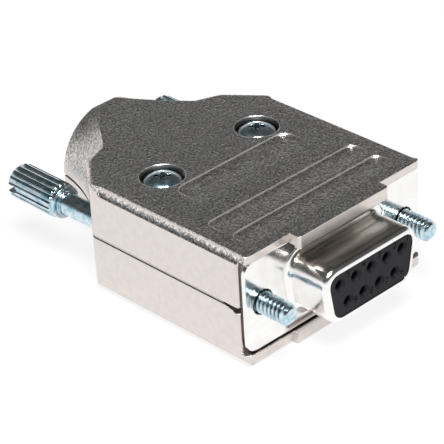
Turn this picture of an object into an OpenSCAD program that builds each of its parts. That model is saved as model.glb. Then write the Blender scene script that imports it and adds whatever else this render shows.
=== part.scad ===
// Nine-way D-sub socket in a two-part die-cast hood with two captive jackscrews. Sizes in mm.
// X runs across the flange, -Y is the mating direction, Z is up. The parting plane of the hood
// is z = 0 and the front face of the flange is y = 0.

/* [Flange and nose] */
// Width of the mounting flange
flange_width = 30.81; // [30:0.01:32]
// Height of the mounting flange
flange_height = 12.5; // [12:0.01:13]
// Corner radius of the flange
flange_corner_r = 1.6; // [0.8:0.1:2.4]
// Thickness of the front and of the rear flange sheet
flange_sheet = 0.5; // [0.3:0.05:0.7]
// Distance between the two jackscrew axes
screw_spacing = 24.99; // [24:0.01:26]
// Diameter of the screw holes in the flange
screw_hole_d = 3.3; // [2.9:0.01:3.5]
// Outside width of the D-shaped nose
nose_width = 16.33; // [16:0.01:17]
// Outside height of the nose
nose_height = 7.9; // [7.5:0.01:8.4]
// Corner radius of the nose, outside
nose_corner_r = 2.3; // [1.5:0.1:3]
// Slope of the nose's two sides in degrees
nose_side_angle = 10; // [6:1:14]
// Reach of the nose in front of the flange
nose_reach = 6.12; // [5.5:0.01:6.5]
// Sheet thickness of the nose
nose_sheet = 0.4; // [0.3:0.05:0.6]
// How far the front edge of the nose is turned inwards
nose_turn = 0.4; // [0.2:0.05:0.6]

/* [Contacts] */
// Contact pitch along a row
contact_pitch = 2.77; // [2.5:0.01:3]
// Distance between the two rows
row_spacing = 2.84; // [2.6:0.01:3]
// Outside diameter of a contact sleeve
sleeve_d = 1.7; // [1.4:0.02:1.9]
// Bore of a contact sleeve
sleeve_bore_d = 1.06; // [0.9:0.02:1.2]
// Diameter of the mouth in the insulator face
mouth_d = 1.8; // [1.4:0.05:2]
// Diameter of the retaining shoulder on a contact
shoulder_d = 2.2; // [1.9:0.05:2.4]
// Outside diameter of a solder cup
cup_d = 2.0; // [1.7:0.05:2.2]
// Bore of a solder cup
cup_bore_d = 1.3; // [1:0.05:1.5]
// Length of a solder cup
cup_length = 3.8; // [3:0.1:5]
// Radial gap around a contact in its insulator
contact_gap = 0.03; // [0.02:0.01:0.08]

/* [Connector body] */
// Width of the skirt of the rear shell, outside
skirt_width = 19.3; // [18:0.1:20]
// Height of the skirt of the rear shell, outside
skirt_height = 10.7; // [10:0.1:11.5]
// Depth of the skirt behind the front sheet
skirt_depth = 4.35; // [3.5:0.05:5]
// Thickness of the insulator's collar behind the front sheet
collar_depth = 0.9; // [0.6:0.05:1.2]
// Reach of the rear insulator behind the rear shell
rear_block_reach = 1.95; // [1:0.05:3]
// Gap around the insulators in their shells
insulator_gap = 0.05; // [0.03:0.01:0.1]

/* [Hood] */
// Width of the hood
hood_width = 31.2; // [30.9:0.1:34]
// Height of the upper half above the parting plane
top_height = 7.5; // [7:0.1:9]
// Depth of the lower half below the parting plane
bottom_height = 8.0; // [7:0.1:9]
// Where the slanted rear corners start
corner_start_y = 26.9; // [24:0.1:28]
// Half width of the back wall between the slanted corners
back_half_width = 11.9; // [10:0.1:13]
// Where the back wall of the wings stands
back_y = 31.6; // [29:0.1:34]
// Radius of the rear edges of the wings
edge_r = 0.8; // [0.5:0.1:1]
// Outer radius of the cable barrel at its end
barrel_r = 7.75; // [7:0.05:8.5]
// Where the barrel ends
barrel_end_y = 41.45; // [38:0.05:46]
// Radius of the barrel's concave flare
flare_r = 23.5; // [18:0.5:30]
// How far behind the barrel's end the flare would run parallel to its axis
flare_lead = 3.5; // [0:0.5:5]
// Inner radius of the barrel
barrel_bore_r = 5.6; // [4:0.1:6]
// Wall over the top and the bottom of the cavity
wall = 1.4; // [1:0.1:2]
// Gap along the parting plane of the wings
parting_gap = 0.1; // [0.06:0.02:0.2]
// Gap along the parting plane of the barrel
barrel_gap = 0.36; // [0.1:0.02:0.5]
// Side draft over the height of one half
draft = 0.25; // [0:0.05:0.5]
// Front edge of the two lips beside the middle tab
lip_y = -0.3; // [-0.6:0.1:0]
// Reach of the middle tab in front of the flange
tab_reach = 1.8; // [1:0.05:2.5]
// Reach of the middle tab of the lower half
low_tab_reach = 1.1; // [0.6:0.05:2.5]
// Width of the middle tab
tab_width = 15.75; // [14:0.05:17]
// Overlap of the middle tab over the flange's front
tab_overlap = 0.45; // [0.2:0.05:0.6]

/* [Grips and coves] */
// Depth of each grip step at its rear edge
grip_depth = 0.22; // [0.1:0.02:0.4]
// Radius of the cove along each upper side edge
cove_r = 1.1; // [0.8:0.1:1.6]

/* [Hood screws] */
// Distance between the two hood screws
hood_screw_spacing = 16.66; // [15:0.02:18]
// Where the hood screws stand
hood_screw_y = 21.25; // [19:0.05:23]
// Head diameter of a hood screw
hood_head_d = 5.2; // [4.8:0.1:5.6]
// Head height of a hood screw
hood_head_h = 1.9; // [1.5:0.1:2.4]
// Recess diameter around a head
recess_d = 5.9; // [5.7:0.1:6.4]
// Diameter of the shank of a hood screw
hood_shank_d = 2.9; // [2.4:0.1:3]

/* [Jackscrews] */
// Pitch diameter of the thread on the free end, which stands for its turns
thread_d = 2.43; // [2.2:0.01:2.6]
// Shank diameter inside the hood
shank_d = 2.96; // [2.8:0.02:3]
// Diameter of the neck between the thread and the shank
neck_d = 2.1; // [1.8:0.1:2.2]
// Length of the neck
neck_length = 1.2; // [0.8:0.1:2]
// Reach of the tip in front of the flange
jack_reach = 4.66; // [4:0.02:6]
// Where the head starts
head_start_y = 35.3; // [34.8:0.1:37]
// Where the head ends
head_end_y = 44.7; // [42:0.1:48]
// Head diameter
head_d = 4.8; // [4.4:0.1:5.4]
// Number of flutes around the head
flutes = 18; // [12:1:24]
// Width of the screwdriver slot
slot_width = 1.0; // [0.8:0.1:1.3]
// Depth of the screwdriver slot
slot_depth = 1.6; // [1:0.1:2]
// Radial gap around the shank in the hood
shank_gap = 0.16; // [0.1:0.02:0.25]
// Outside diameter of the retaining ring
ring_d = 4.0; // [3.6:0.1:4.2]
// Thickness of the retaining ring
ring_t = 0.4; // [0.3:0.05:0.6]
// Where the retaining ring sits
ring_y = 9.0; // [8.5:0.1:12]
// Travel of the ring in its pocket
ring_travel = 4.0; // [2:0.5:5]

/* [Cable clamp] */
// Cable diameter between the strap and its cradle
cable_d = 6.4; // [5:0.1:7]
// Width of the strap
strap_width = 4.2; // [3:0.1:5]
// Thickness of the strap
strap_t = 1.2; // [0.8:0.1:1.5]
// Where the strap stands
strap_y = 28.4; // [27.5:0.1:29]
// Distance between the clamp screws
clamp_spacing = 13.2; // [12.6:0.1:14]
// Head diameter of a clamp screw
clamp_head_d = 3.6; // [3:0.1:4]
// Shank diameter of a clamp screw
clamp_shank_d = 2.0; // [1.6:0.1:2.5]

/* [Hidden] */
$fn = 48;

W = hood_width / 2;
J = screw_spacing / 2;
S = hood_screw_spacing / 2;
C = clamp_spacing / 2;
E = 0.01;
face_y = 2 * flange_sheet + 0.05;            // front wall of the hood
lip_z = flange_height / 2 + 0.15;            // underside of the lips
insulator_y = -nose_reach + 0.12;            // front face of the insulator
sleeve_y = insulator_y + 1.3;                // front end of the contacts
shoulder_y = flange_sheet + collar_depth;    // joint between the two insulators
skirt_end = flange_sheet + skirt_depth;
block_end = skirt_end + rear_block_reach;
channel_r = shank_d / 2 + shank_gap;
pocket_r = ring_d / 2 + 0.2;
groove_d = shank_d - 0.9;
cavity_top = top_height - wall;
cavity_bottom = bottom_height - wall - 0.1;
cavity_half = J - pocket_r - 0.9;
front_half = skirt_width / 2 + 0.2;
head_seat = top_height - hood_head_h + 0.15;
strap_z = -1.5;
cable_z = strap_z + 0.3;
nickel = [0.80, 0.78, 0.77];
steel = [0.86, 0.87, 0.88];
zinc = [0.62, 0.74, 0.80];

// ---- plan shapes -------------------------------------------------------------------------
function unit(v) = v / norm(v);
function out_n(a, b) = let (d = unit(b - a)) [d[1], -d[0]];
function inset(a, b, c, r) = let (m = out_n(a, b), n = out_n(b, c)) b - r * (m + n) / (1 + m * n);
function centres(p, r) = let (n = len(p))
    [for (i = [0:n - 1]) inset(p[(i + n - 1) % n], p[i], p[(i + 1) % n], r)];
// The straight sides stand T inside the corner circles, so that they meet them cleanly
T = 0.002;
function sides(c, r) = let (n = len(c))
    [for (i = [0:n - 1]) for (k = [0, 1]) c[(i + k) % n] + (r - T) * out_n(c[i], c[(i + 1) % n])];

// A convex outline, counterclockwise, with every corner rounded to radius r
module rounded(p, r) {
    c = centres(p, r);
    for (q = c) translate(q) circle(r = r);
    polygon(sides(c, r));
}

// The same with one radius for each corner
function centres_each(p, r) = let (n = len(p))
    [for (i = [0:n - 1]) inset(p[(i + n - 1) % n], p[i], p[(i + 1) % n], r[i])];
module rounded_each(p, r) {
    n = len(p);
    c = centres_each(p, r);
    for (i = [0:n - 1]) translate(c[i]) circle(r = r[i]);
    polygon([for (i = [0:n - 1]) for (k = [0, 1])
        c[(i + k) % n] + (r[(i + k) % n] - T) * out_n(p[i], p[(i + 1) % n])]);
}

function rect_pts(w, h) = [[-w / 2, -h / 2], [w / 2, -h / 2], [w / 2, h / 2], [-w / 2, h / 2]];

// Corner centres of the D outline; the wide row is the upper one
dx = nose_width / 2 - nose_corner_r;
dz = nose_height / 2 - nose_corner_r;
dn = dx - 2 * dz * tan(nose_side_angle);
D_C = [[-dn, -dz], [dn, -dz], [dx, dz], [-dx, dz]];
module d_shape(grow) {
    for (q = D_C) translate(q) circle(r = nose_corner_r + grow);
    polygon(sides(D_C, nose_corner_r + grow));
}

// A flat shape drawn in X and Z, standing from y0 to y1
module slab(y0, y1) translate([0, y1, 0]) rotate([90, 0, 0]) linear_extrude(y1 - y0) children();
module ycyl(r, y0, y1) translate([0, y0, 0]) rotate([-90, 0, 0]) cylinder(r = r, h = y1 - y0);
module ycone(r0, r1, y0, y1)
    translate([0, y0, 0]) rotate([-90, 0, 0]) cylinder(r1 = r0, r2 = r1, h = y1 - y0);
module box(x0, x1, y0, y1, z0, z1) translate([x0, y0, z0]) cube([x1 - x0, y1 - y0, z1 - z0]);
module both() for (s = [-1, 1]) scale_x(s) children();
module scale_x(s) if (s > 0) children(); else mirror([1, 0, 0]) children();

function wing_pts(d) = [[-W + d, face_y + d], [W - d, face_y + d], [W - d, corner_start_y],
    [back_half_width, back_y - d], [6.9, back_y + 2.1 - d], [-6.9, back_y + 2.1 - d],
    [-back_half_width, back_y - d], [-W + d, corner_start_y]];
WING_R = [for (i = [0:7]) i < 2 ? 0.45 : edge_r];
module outline(d) rounded_each(wing_pts(d), WING_R);

// ---- hood --------------------------------------------------------------------------------
// Solid of revolution of the barrel, a concave flare that opens towards the wings
module flare(rim, start, end) {
    axis_r = rim + sqrt(flare_r * flare_r - flare_lead * flare_lead);
    translate([0, start, 0]) rotate([-90, 0, 0]) rotate_extrude($fn = 96)
        difference() {
            square([rim + 4.8, end - start]);
            translate([axis_r, end - start + flare_lead]) circle(r = flare_r, $fn = 128);
        }
}

// Everything inside of the edge from a to b, which is rounded to edge_r at the given height
module inside_edge(a, b, height) {
    n = out_n(a, b);
    u = 2 * T - edge_r;
    translate([a[0], a[1], 0]) rotate([90, 0, atan2(n[1], n[0])])
        translate([0, 0, -60]) linear_extrude(120) {
            translate([u, height + u]) circle(r = edge_r);
            polygon([[-80, -20], [T, -20], [T, height + u], [u, height + T], [-80, height + T]]);
        }
}

// One half over the outline of the wings, with the rear edges rounded
module wing_block(z0, height) intersection() {
    translate([0, 0, z0]) linear_extrude(height - z0) outline(0);
    inside_rear_edges(height);
}
module inside_rear_edges(height) intersection() {
    p = wing_pts(0);
    inside_edge(p[2], p[3], height);
    inside_edge(p[3], p[4], height);
    inside_edge(p[5], p[6], height);
    inside_edge(p[6], p[7], height);
}

// Cross-section of one half: drafted sides, and a chamfer along the lower edges
module section(side, height) {
    e = draft + (side < 0 ? 0.6 : 0);
    slab(-3, back_y + 3)
        polygon([[-W, 0], [W, 0], [W - draft * 0.4, side * (height - 0.8)], [W - e, side * height],
            [-W + e, side * height], [-W + draft * 0.4, side * (height - 0.8)]]);
}

// The outside of one half, before anything is cut: side = 1 above, -1 below the parting plane
module half_outside(side, height) {
    g = parting_gap / 2;
    q = barrel_gap / 2;
    intersection() {
        union() {
            if (side > 0) wing_block(g, height); else mirror([0, 0, 1]) wing_block(g, height);
            if (side > 0) lip_top(height); else lip_bottom(height);
        }
        section(side, height);
    }
    intersection() {
        flare(barrel_r, back_y - 1.5, barrel_end_y);
        if (side > 0) box(-20, 20, 20, 50, q, height); else box(-20, 20, 20, 50, -height, -q);
    }
}

// Lip over the edge of the flange, with the middle tab that holds it in place
module lip_top(height) {
    w = tab_width / 2;
    translate([0, 0, lip_z]) linear_extrude(height - lip_z)
        rounded([[-W, lip_y], [W, lip_y], [W, 4], [-W, 4]], 1.0);
    translate([0, 0, lip_z]) linear_extrude(height - lip_z)
        rounded([[-w, -tab_reach], [w, -tab_reach], [w, 2], [-w, 2]], 0.4);
    intersection() {
        translate([0, 0, lip_z - 0.15 - tab_overlap]) linear_extrude(1)
            rounded([[-w, -tab_reach], [w, -tab_reach], [w, 2], [-w, 2]], 0.4);
        box(-9, 9, -3, -0.05, 0, lip_z + E);
    }
}

// The lower lip and its shorter tab have a rounded lower front edge
module lip_bottom(height) {
    w = tab_width / 2;
    intersection() {
        translate([0, 0, -height]) linear_extrude(height - lip_z)
            rounded([[-W, lip_y], [W, lip_y], [W, 4], [-W, 4]], 1.0);
        bar(W + 1, lip_y, 6, -height, 0, 0.6);
    }
    bar(w, -low_tab_reach, 1, -height, -lip_z, 0.5);
    box(-w, w, -low_tab_reach + T, -0.05, -lip_z - E, -flange_height / 2 + 0.1);
}

// A bar along X whose lower front edge is rounded to radius r
module bar(w, y0, y1, z0, z1, r) translate([-w, 0, 0]) rotate([90, 0, 90]) linear_extrude(2 * w) {
    translate([y0 + r, z0 + r]) circle(r = r);
    polygon([[y0 + r, z0 + T], [y1, z0 + T], [y1, z1], [y0 + T, z1], [y0 + T, z0 + r]]);
}

// Space for the connector, the wires and the cable in both halves
module cavity() {
    box(-front_half, front_half, -1, 5.6, -cavity_bottom, cavity_top);
    box(-cavity_half, cavity_half, 4, back_y - 1.2, -cavity_bottom, cavity_top);
    intersection() {
        flare(barrel_bore_r, back_y - 2.5, barrel_end_y + E);
        box(-9, 9, 20, 50, -cavity_bottom, cavity_top);
    }
}

// Way of one jackscrew through the hood, with the pocket of its retaining ring
module jack_way() translate([J, 0, 0]) {
    ycyl(channel_r, -1, back_y + 2);
    ycyl(pocket_r, ring_y - 0.2, ring_y + ring_t + ring_travel + 0.2);
}

// Post that a hood screw goes through; it is round and stands in the cavity
module post(z0, z1) translate([S, hood_screw_y, z0]) cylinder(r = 2.9, h = z1 - z0);

// Three finger steps: each floor starts deep at its rear edge and runs out towards the front
module grip(half_width, y_rear, run, r) {
    a = atan(grip_depth / run);
    translate([0, y_rear, top_height - grip_depth]) rotate([-a, 0, 0])
        linear_extrude(2) rounded([[-half_width, -run * 1.6], [half_width, -run * 1.6],
            [half_width, 0], [-half_width, 0]], r);
}

module cove() {
    n = unit([1.44, 0.5]);
    d = sqrt(cove_r * cove_r - 0.76 * 0.76);
    translate([-W + 0.25 - n[0] * d, 0, top_height - 0.72 + n[1] * d]) {
        ycyl(cove_r, 0.75, corner_start_y - 2);
        for (y = [0.75, corner_start_y - 2]) translate([0, y, 0]) sphere(r = cove_r);
    }
}

module hood_top() color(nickel) difference() {
    union() {
        difference() {
            half_outside(1, top_height);
            cavity();
        }
        both() post(parting_gap / 2, cavity_top + E);
        // ribs that carry the rear sheet of the flange
        both() box(J - 2.6, W - 1.4, 1.15, 2.6, parting_gap / 2, 5.6);
    }
    both() jack_way();
    both() translate([S, hood_screw_y, 0]) {
        translate([0, 0, -1]) cylinder(d = hood_shank_d + 0.3, h = 12);
        translate([0, 0, head_seat]) cylinder(d = recess_d, h = 4);
    }
    both() cove();
    grip(9.8, 17.85, 5.2, 1.8);
    grip(12.9, 9.0, 3.6, 1.2);
    grip(12.9, 4.85, 3.6, 1.2);
    // groove for the tongues of the lower half
    both() box(14.4, 15.0, 14.4, 24.6, -1, 0.75);
    both() box(14.4, 15.0, 2.6, 8.1, -1, 0.75);
}

// Block under the cable, with a cradle and two seats for the strap
module cradle() difference() {
    union() {
        both() box(C - 2.2, C + 2.2, strap_y - strap_width / 2 - 0.3,
            strap_y + strap_width / 2 + 0.3, -cavity_bottom - E, strap_z);
        box(-C, C, strap_y - strap_width / 2 - 0.3, strap_y + strap_width / 2 + 0.3,
            -cavity_bottom - E, cable_z - 1.6);
    }
    translate([0, 0, cable_z]) ycyl(cable_d / 2, 20, 40);
}

module hood_bottom() color(nickel) difference() {
    union() {
        difference() {
            half_outside(-1, bottom_height);
            cavity();
            // fine step along the parting line
            difference() {
                box(-20, 20, -3, back_y + 2.2, -0.3, 1);
                translate([0, 0, -1]) linear_extrude(3) outline(0.14);
            }
        }
        both() post(-cavity_bottom - E, -parting_gap / 2);
        both() box(J - 2.6, W - 1.4, 1.15, 2.6, -5.6, -parting_gap / 2);
        both() box(14.45, 14.95, 14.5, 24.5, -0.5, 0.6);
        both() box(14.45, 14.95, 2.7, 8.0, -0.5, 0.6);
        cradle();
    }
    both() jack_way();
    both() translate([S, hood_screw_y, -6]) cylinder(d = hood_shank_d + 0.1, h = 12);
    both() translate([C, strap_y, strap_z - 4.5]) cylinder(d = clamp_shank_d + 0.1, h = 8);
    // pry notch at the front end of each side seam
    both() translate([14.2, 0, 0]) rotate([90, 0, 90]) linear_extrude(3)
        polygon([[-1, -0.8], [face_y + 0.9, -0.8], [face_y + 3.2, 0], [face_y + 3.2, 1], [-1, 1]]);
}

// ---- connector ---------------------------------------------------------------------------
module front_shell() color(steel) difference() {
    union() {
        slab(0, flange_sheet) rounded(rect_pts(flange_width, flange_height), flange_corner_r);
        slab(-nose_reach, flange_sheet / 2) d_shape(0);
    }
    slab(-nose_reach + nose_sheet, 2) d_shape(-nose_sheet);
    slab(-nose_reach - 1, 1) d_shape(-nose_sheet - nose_turn);
    both() translate([J, 0, 0]) ycyl(screw_hole_d / 2, -1, 2);
}

module rear_shell() color(steel) {
    a = flange_sheet;
    difference() {
        union() {
            slab(a, 2 * a) rounded(rect_pts(28.6, 11.7), 1.0);
            slab(a, skirt_end) rounded(rect_pts(skirt_width, skirt_height), 2.0);
        }
        slab(a - 1, skirt_end - 0.45) rounded(rect_pts(skirt_width - 0.9, skirt_height - 0.9), 1.55);
        slab(skirt_end - 1, skirt_end + 1) d_shape(0.15);
        both() translate([J, 0, 0]) ycyl(screw_hole_d / 2, -1, 3);
    }
}

// Contacts 1 to 5 stand in the upper row and 6 to 9 in the lower one. Seen from the front they
// count from right to left, as on every socket
function contact_at(i) = i <= 5 ? [(3 - i) * contact_pitch, row_spacing / 2]
    : [(7.5 - i) * contact_pitch, -row_spacing / 2];
module at_contact(i) translate([contact_at(i)[0], 0, contact_at(i)[1]]) children();

module front_insulator() color([0.10, 0.10, 0.11]) difference() {
    union() {
        slab(insulator_y, 0) d_shape(-nose_sheet - nose_turn - insulator_gap);
        slab(-nose_reach + nose_sheet + insulator_gap, flange_sheet + E)
            d_shape(-nose_sheet - insulator_gap);
        slab(flange_sheet, shoulder_y)
            rounded(rect_pts(skirt_width - 0.9 - 2 * insulator_gap,
                skirt_height - 0.9 - 2 * insulator_gap), 1.5);
    }
    for (i = [1:9]) at_contact(i) {
        ycone(mouth_d / 2, sleeve_bore_d / 2 + 0.04, insulator_y, insulator_y + 0.35);
        ycyl(sleeve_bore_d / 2 + 0.04, insulator_y + 0.2, sleeve_y);
        ycyl(sleeve_d / 2 + contact_gap, sleeve_y - 0.05, shoulder_y + 1);
    }
}

module rear_insulator() color([0.12, 0.12, 0.13]) difference() {
    union() {
        slab(shoulder_y, skirt_end - 0.45)
            rounded(rect_pts(skirt_width - 0.9 - 2 * insulator_gap,
                skirt_height - 0.9 - 2 * insulator_gap), 1.5);
        slab(skirt_end - 0.5, block_end) d_shape(0.1);
    }
    for (i = [1:9]) at_contact(i) {
        ycyl(shoulder_d / 2 + contact_gap, shoulder_y - 1, shoulder_y + 0.8 + contact_gap);
        ycyl(sleeve_d / 2 + contact_gap, shoulder_y, block_end + 1);
    }
}

module contact(i) color([0.85, 0.72, 0.38]) at_contact(i) difference() {
    union() {
        ycyl(sleeve_d / 2, sleeve_y, block_end + 0.3);
        ycyl(shoulder_d / 2, shoulder_y, shoulder_y + 0.8);
        ycyl(cup_d / 2, block_end + 0.05, block_end + 0.05 + cup_length);
    }
    ycyl(sleeve_bore_d / 2, sleeve_y - 1, sleeve_y + 5.6);
    ycyl(cup_bore_d / 2, block_end + 0.6, block_end + cup_length + 1);
    // spring slits in the sleeve
    box(-0.11, 0.11, sleeve_y - 1, sleeve_y + 3.6, -2, 2);
    // the open side of the solder cup faces away from the other row
    s = i <= 5 ? 1 : -1;
    box(-2, 2, block_end + 1.4, block_end + cup_length + 1, s > 0 ? 0.2 : -2, s > 0 ? 2 : -0.2);
}
module contact_1() contact(1);
module contact_2() contact(2);
module contact_3() contact(3);
module contact_4() contact(4);
module contact_5() contact(5);
module contact_6() contact(6);
module contact_7() contact(7);
module contact_8() contact(8);
module contact_9() contact(9);

// ---- screws ------------------------------------------------------------------------------
// Long captive screw: threaded tip, neck, shank with a ring groove, collar and fluted slotted head
module jackscrew(x) color(zinc) translate([x, 0, 0]) difference() {
    union() {
        difference() {
            union() {
                ycone(thread_d / 2 - 0.4, thread_d / 2, -jack_reach, -jack_reach + 0.4);
                ycyl(thread_d / 2, -jack_reach + 0.4, 0);
                ycyl(neck_d / 2, -0.2, neck_length + 0.2);
                ycyl(shank_d / 2, neck_length, head_start_y + 0.2);
            }
            difference() {
                ycyl(3, ring_y - 0.05, ring_y + ring_t + 0.05);
                ycyl(groove_d / 2, ring_y - 1, ring_y + 2);
            }
        }
        ycyl(head_d / 2 - 0.65, head_start_y, head_start_y + 0.4);
        ycyl(head_d / 2 - 0.18, head_start_y + 0.35, head_start_y + 1.0);
        intersection() {
            slab(head_start_y + 0.95, head_end_y) difference() {
                circle(d = head_d);
                for (k = [0:flutes - 1]) rotate(k * 360 / flutes)
                    translate([head_d / 2 + 0.14, 0]) circle(r = 0.33, $fn = 20);
            }
            union() {
                ycone(head_d / 2 - 0.35, head_d / 2 + 0.6, head_start_y + 0.9, head_start_y + 1.85);
                ycyl(head_d / 2 + 0.6, head_start_y + 1.8, head_end_y - 0.95);
                ycone(head_d / 2 + 0.6, head_d / 2 - 0.35, head_end_y - 0.95, head_end_y);
            }
        }
    }
    box(-4, 4, head_end_y - slot_depth, head_end_y + 1, -slot_width / 2, slot_width / 2);
}
module jackscrew_left() jackscrew(-J);
module jackscrew_right() jackscrew(J);

module ring(x) color([0.55, 0.56, 0.58]) translate([x, 0, 0]) difference() {
    ycyl(ring_d / 2, ring_y, ring_y + ring_t);
    ycyl(groove_d / 2 + 0.06, ring_y - 1, ring_y + 2);
    box(-0.7, 0.7, ring_y - 1, ring_y + 2, -4, 0);
}
module ring_left() ring(-J);
module ring_right() ring(J);

// Cross recess: two crossed slots that taper to a pilot
module cross(w, l, depth) for (a = [0, 90]) rotate(a)
    translate([-l / 2, -w / 2, -depth]) cube([l, w, depth + 1]);

module hood_screw(x) color(zinc) translate([x, hood_screw_y, 0]) difference() {
    union() {
        translate([0, 0, head_seat]) cylinder(d = hood_head_d, h = hood_head_h - 0.55);
        translate([0, 0, head_seat + hood_head_h - 0.55 - E])
            cylinder(d1 = hood_head_d, d2 = hood_head_d - 1.5, h = 0.55);
        translate([0, 0, -4.6]) cylinder(d = hood_shank_d, h = head_seat + 4.6 + 0.3);
        translate([0, 0, -5.3]) cylinder(d1 = hood_shank_d - 1, d2 = hood_shank_d, h = 0.7 + E);
    }
    translate([0, 0, head_seat + hood_head_h]) rotate(45) cross(0.62, 2.9, 1.1);
    translate([0, 0, head_seat + hood_head_h - 1.3]) cylinder(d1 = 0.7, d2 = 1.5, h = 1.4);
}
module hood_screw_left() hood_screw(-S);
module hood_screw_right() hood_screw(S);

// Arched strap: two flat ears and a half-round bridge over the cable
module cable_strap() color([0.72, 0.73, 0.75]) difference() {
    union() {
        box(-C - 2.1, C + 2.1, strap_y - strap_width / 2, strap_y + strap_width / 2,
            strap_z, strap_z + strap_t);
        translate([0, 0, cable_z]) ycyl(cable_d / 2 + strap_t, strap_y - strap_width / 2,
            strap_y + strap_width / 2);
    }
    translate([0, 0, cable_z]) ycyl(cable_d / 2, 20, 40);
    box(-C - 3, C + 3, 20, 40, -12, strap_z);
    both() translate([C, strap_y, -10]) cylinder(d = clamp_shank_d + 0.2, h = 20);
}

module clamp_screw(x) color(zinc) translate([x, strap_y, strap_z + strap_t]) difference() {
    union() {
        cylinder(d = clamp_head_d, h = 0.9);
        translate([0, 0, 0.9 - E]) cylinder(d1 = clamp_head_d, d2 = clamp_head_d - 0.9, h = 0.4);
        translate([0, 0, -strap_t - 4]) cylinder(d = clamp_shank_d, h = strap_t + 4.2);
    }
    translate([0, 0, 1.3]) cross(0.5, 2.0, 0.8);
}
module clamp_screw_left() clamp_screw(-C);
module clamp_screw_right() clamp_screw(C);

hood_top();
hood_bottom();
front_shell();
rear_shell();
front_insulator();
rear_insulator();
contact_1();
contact_2();
contact_3();
contact_4();
contact_5();
contact_6();
contact_7();
contact_8();
contact_9();
jackscrew_left();
jackscrew_right();
ring_left();
ring_right();
hood_screw_left();
hood_screw_right();
cable_strap();
clamp_screw_left();
clamp_screw_right();
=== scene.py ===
"""Dress of a nine-way D-sub socket with its two-part die-cast hood and captive jackscrews.

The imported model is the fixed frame. The classes below build the finished pieces round it and
give every part its finish. Lengths inside the classes are in millimetres and leave them in
metres.
"""

import logging
import math
from dataclasses import dataclass, field
from enum import Enum
from typing import Any, Callable, Sequence

import bmesh
import bpy
from mathutils import Matrix, Vector


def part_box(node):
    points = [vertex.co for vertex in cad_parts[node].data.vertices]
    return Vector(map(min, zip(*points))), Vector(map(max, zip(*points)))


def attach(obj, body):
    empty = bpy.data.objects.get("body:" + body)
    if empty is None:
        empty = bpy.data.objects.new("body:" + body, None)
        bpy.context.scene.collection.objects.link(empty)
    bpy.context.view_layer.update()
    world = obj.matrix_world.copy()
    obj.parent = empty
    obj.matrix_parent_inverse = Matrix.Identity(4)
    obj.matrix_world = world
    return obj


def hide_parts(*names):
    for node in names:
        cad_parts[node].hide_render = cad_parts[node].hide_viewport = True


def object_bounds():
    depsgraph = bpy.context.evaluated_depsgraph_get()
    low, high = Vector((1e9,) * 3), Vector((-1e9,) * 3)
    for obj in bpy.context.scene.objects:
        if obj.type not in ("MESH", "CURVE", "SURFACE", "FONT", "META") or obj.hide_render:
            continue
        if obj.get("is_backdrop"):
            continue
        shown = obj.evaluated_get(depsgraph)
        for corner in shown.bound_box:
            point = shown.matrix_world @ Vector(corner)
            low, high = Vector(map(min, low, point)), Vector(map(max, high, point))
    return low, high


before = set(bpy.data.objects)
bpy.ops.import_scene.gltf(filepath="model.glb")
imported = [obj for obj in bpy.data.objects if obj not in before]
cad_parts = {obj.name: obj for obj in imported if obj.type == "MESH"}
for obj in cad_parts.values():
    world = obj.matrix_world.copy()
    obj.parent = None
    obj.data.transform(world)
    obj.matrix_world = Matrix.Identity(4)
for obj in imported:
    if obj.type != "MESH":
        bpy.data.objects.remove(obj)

LOG = logging.getLogger("connector")
MM = 0.001
SCREW_X = 12.495
Colour = tuple[float, float, float]
Profile = Sequence[tuple[float, float]]


class Body(Enum):
    """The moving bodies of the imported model."""

    HOUSING = "housing"
    LEFT_SCREW = "left_screw"
    RIGHT_SCREW = "right_screw"


class Slot(Enum):
    """The record's material slots."""

    HOOD = "hood_nickel"
    SHELL = "shell_steel"
    INSULATOR = "insulator_black"
    CONTACT = "contact_gold"
    SCREW = "screw_zinc"
    RING = "ring_steel"


class Side(Enum):
    """Left and right as seen from the mating side."""

    LEFT = -1
    RIGHT = 1


# ---- node trees ---------------------------------------------------------------------------
@dataclass
class Graph:
    """Writes the nodes of one tree."""

    tree: bpy.types.NodeTree

    def add(self, kind: str, inputs: dict[Any, Any] | None = None, **settings: Any) -> bpy.types.Node:
        """Adds a node.

        Args:
            kind: the node's type name without its ShaderNode prefix.
            inputs: values or sockets for its inputs, by name or number.
            **settings: attributes of the node itself.

        Returns:
            The new node.
        """
        node = self.tree.nodes.new("ShaderNode" + kind)
        for key, value in settings.items():
            setattr(node, key, value)
        for key, value in (inputs or {}).items():
            if isinstance(value, bpy.types.NodeSocket):
                self.tree.links.new(value, node.inputs[key])
            else:
                node.inputs[key].default_value = value
        return node

    def math(self, operation: str, *values: Any, clamp: bool = False) -> bpy.types.NodeSocket:
        """Adds a Math node and returns its result."""
        node = self.add("Math", dict(enumerate(values)), operation=operation, use_clamp=clamp)
        return node.outputs[0]

    def span(self, value: Any, low: float, high: float, to: tuple[float, float] = (0.0, 1.0)) -> bpy.types.NodeSocket:
        """Maps low..high smoothly to the two ends of to, and returns the result."""
        node = self.add("MapRange", {0: value, 1: low, 2: high, 3: to[0], 4: to[1]}, interpolation_type="SMOOTHSTEP")
        return node.outputs[0]

    def blend(self, mask: Any, one: Any, two: Any) -> bpy.types.NodeSocket:
        """Mixes two colours by a mask and returns the result."""
        node = self.add("Mix", data_type="RGBA")
        for index, value in ((0, mask), (6, one), (7, two)):
            if isinstance(value, bpy.types.NodeSocket):
                self.tree.links.new(value, node.inputs[index])
            else:
                node.inputs[index].default_value = value if index == 0 else (*value, 1.0)
        return node.outputs[2]


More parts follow.
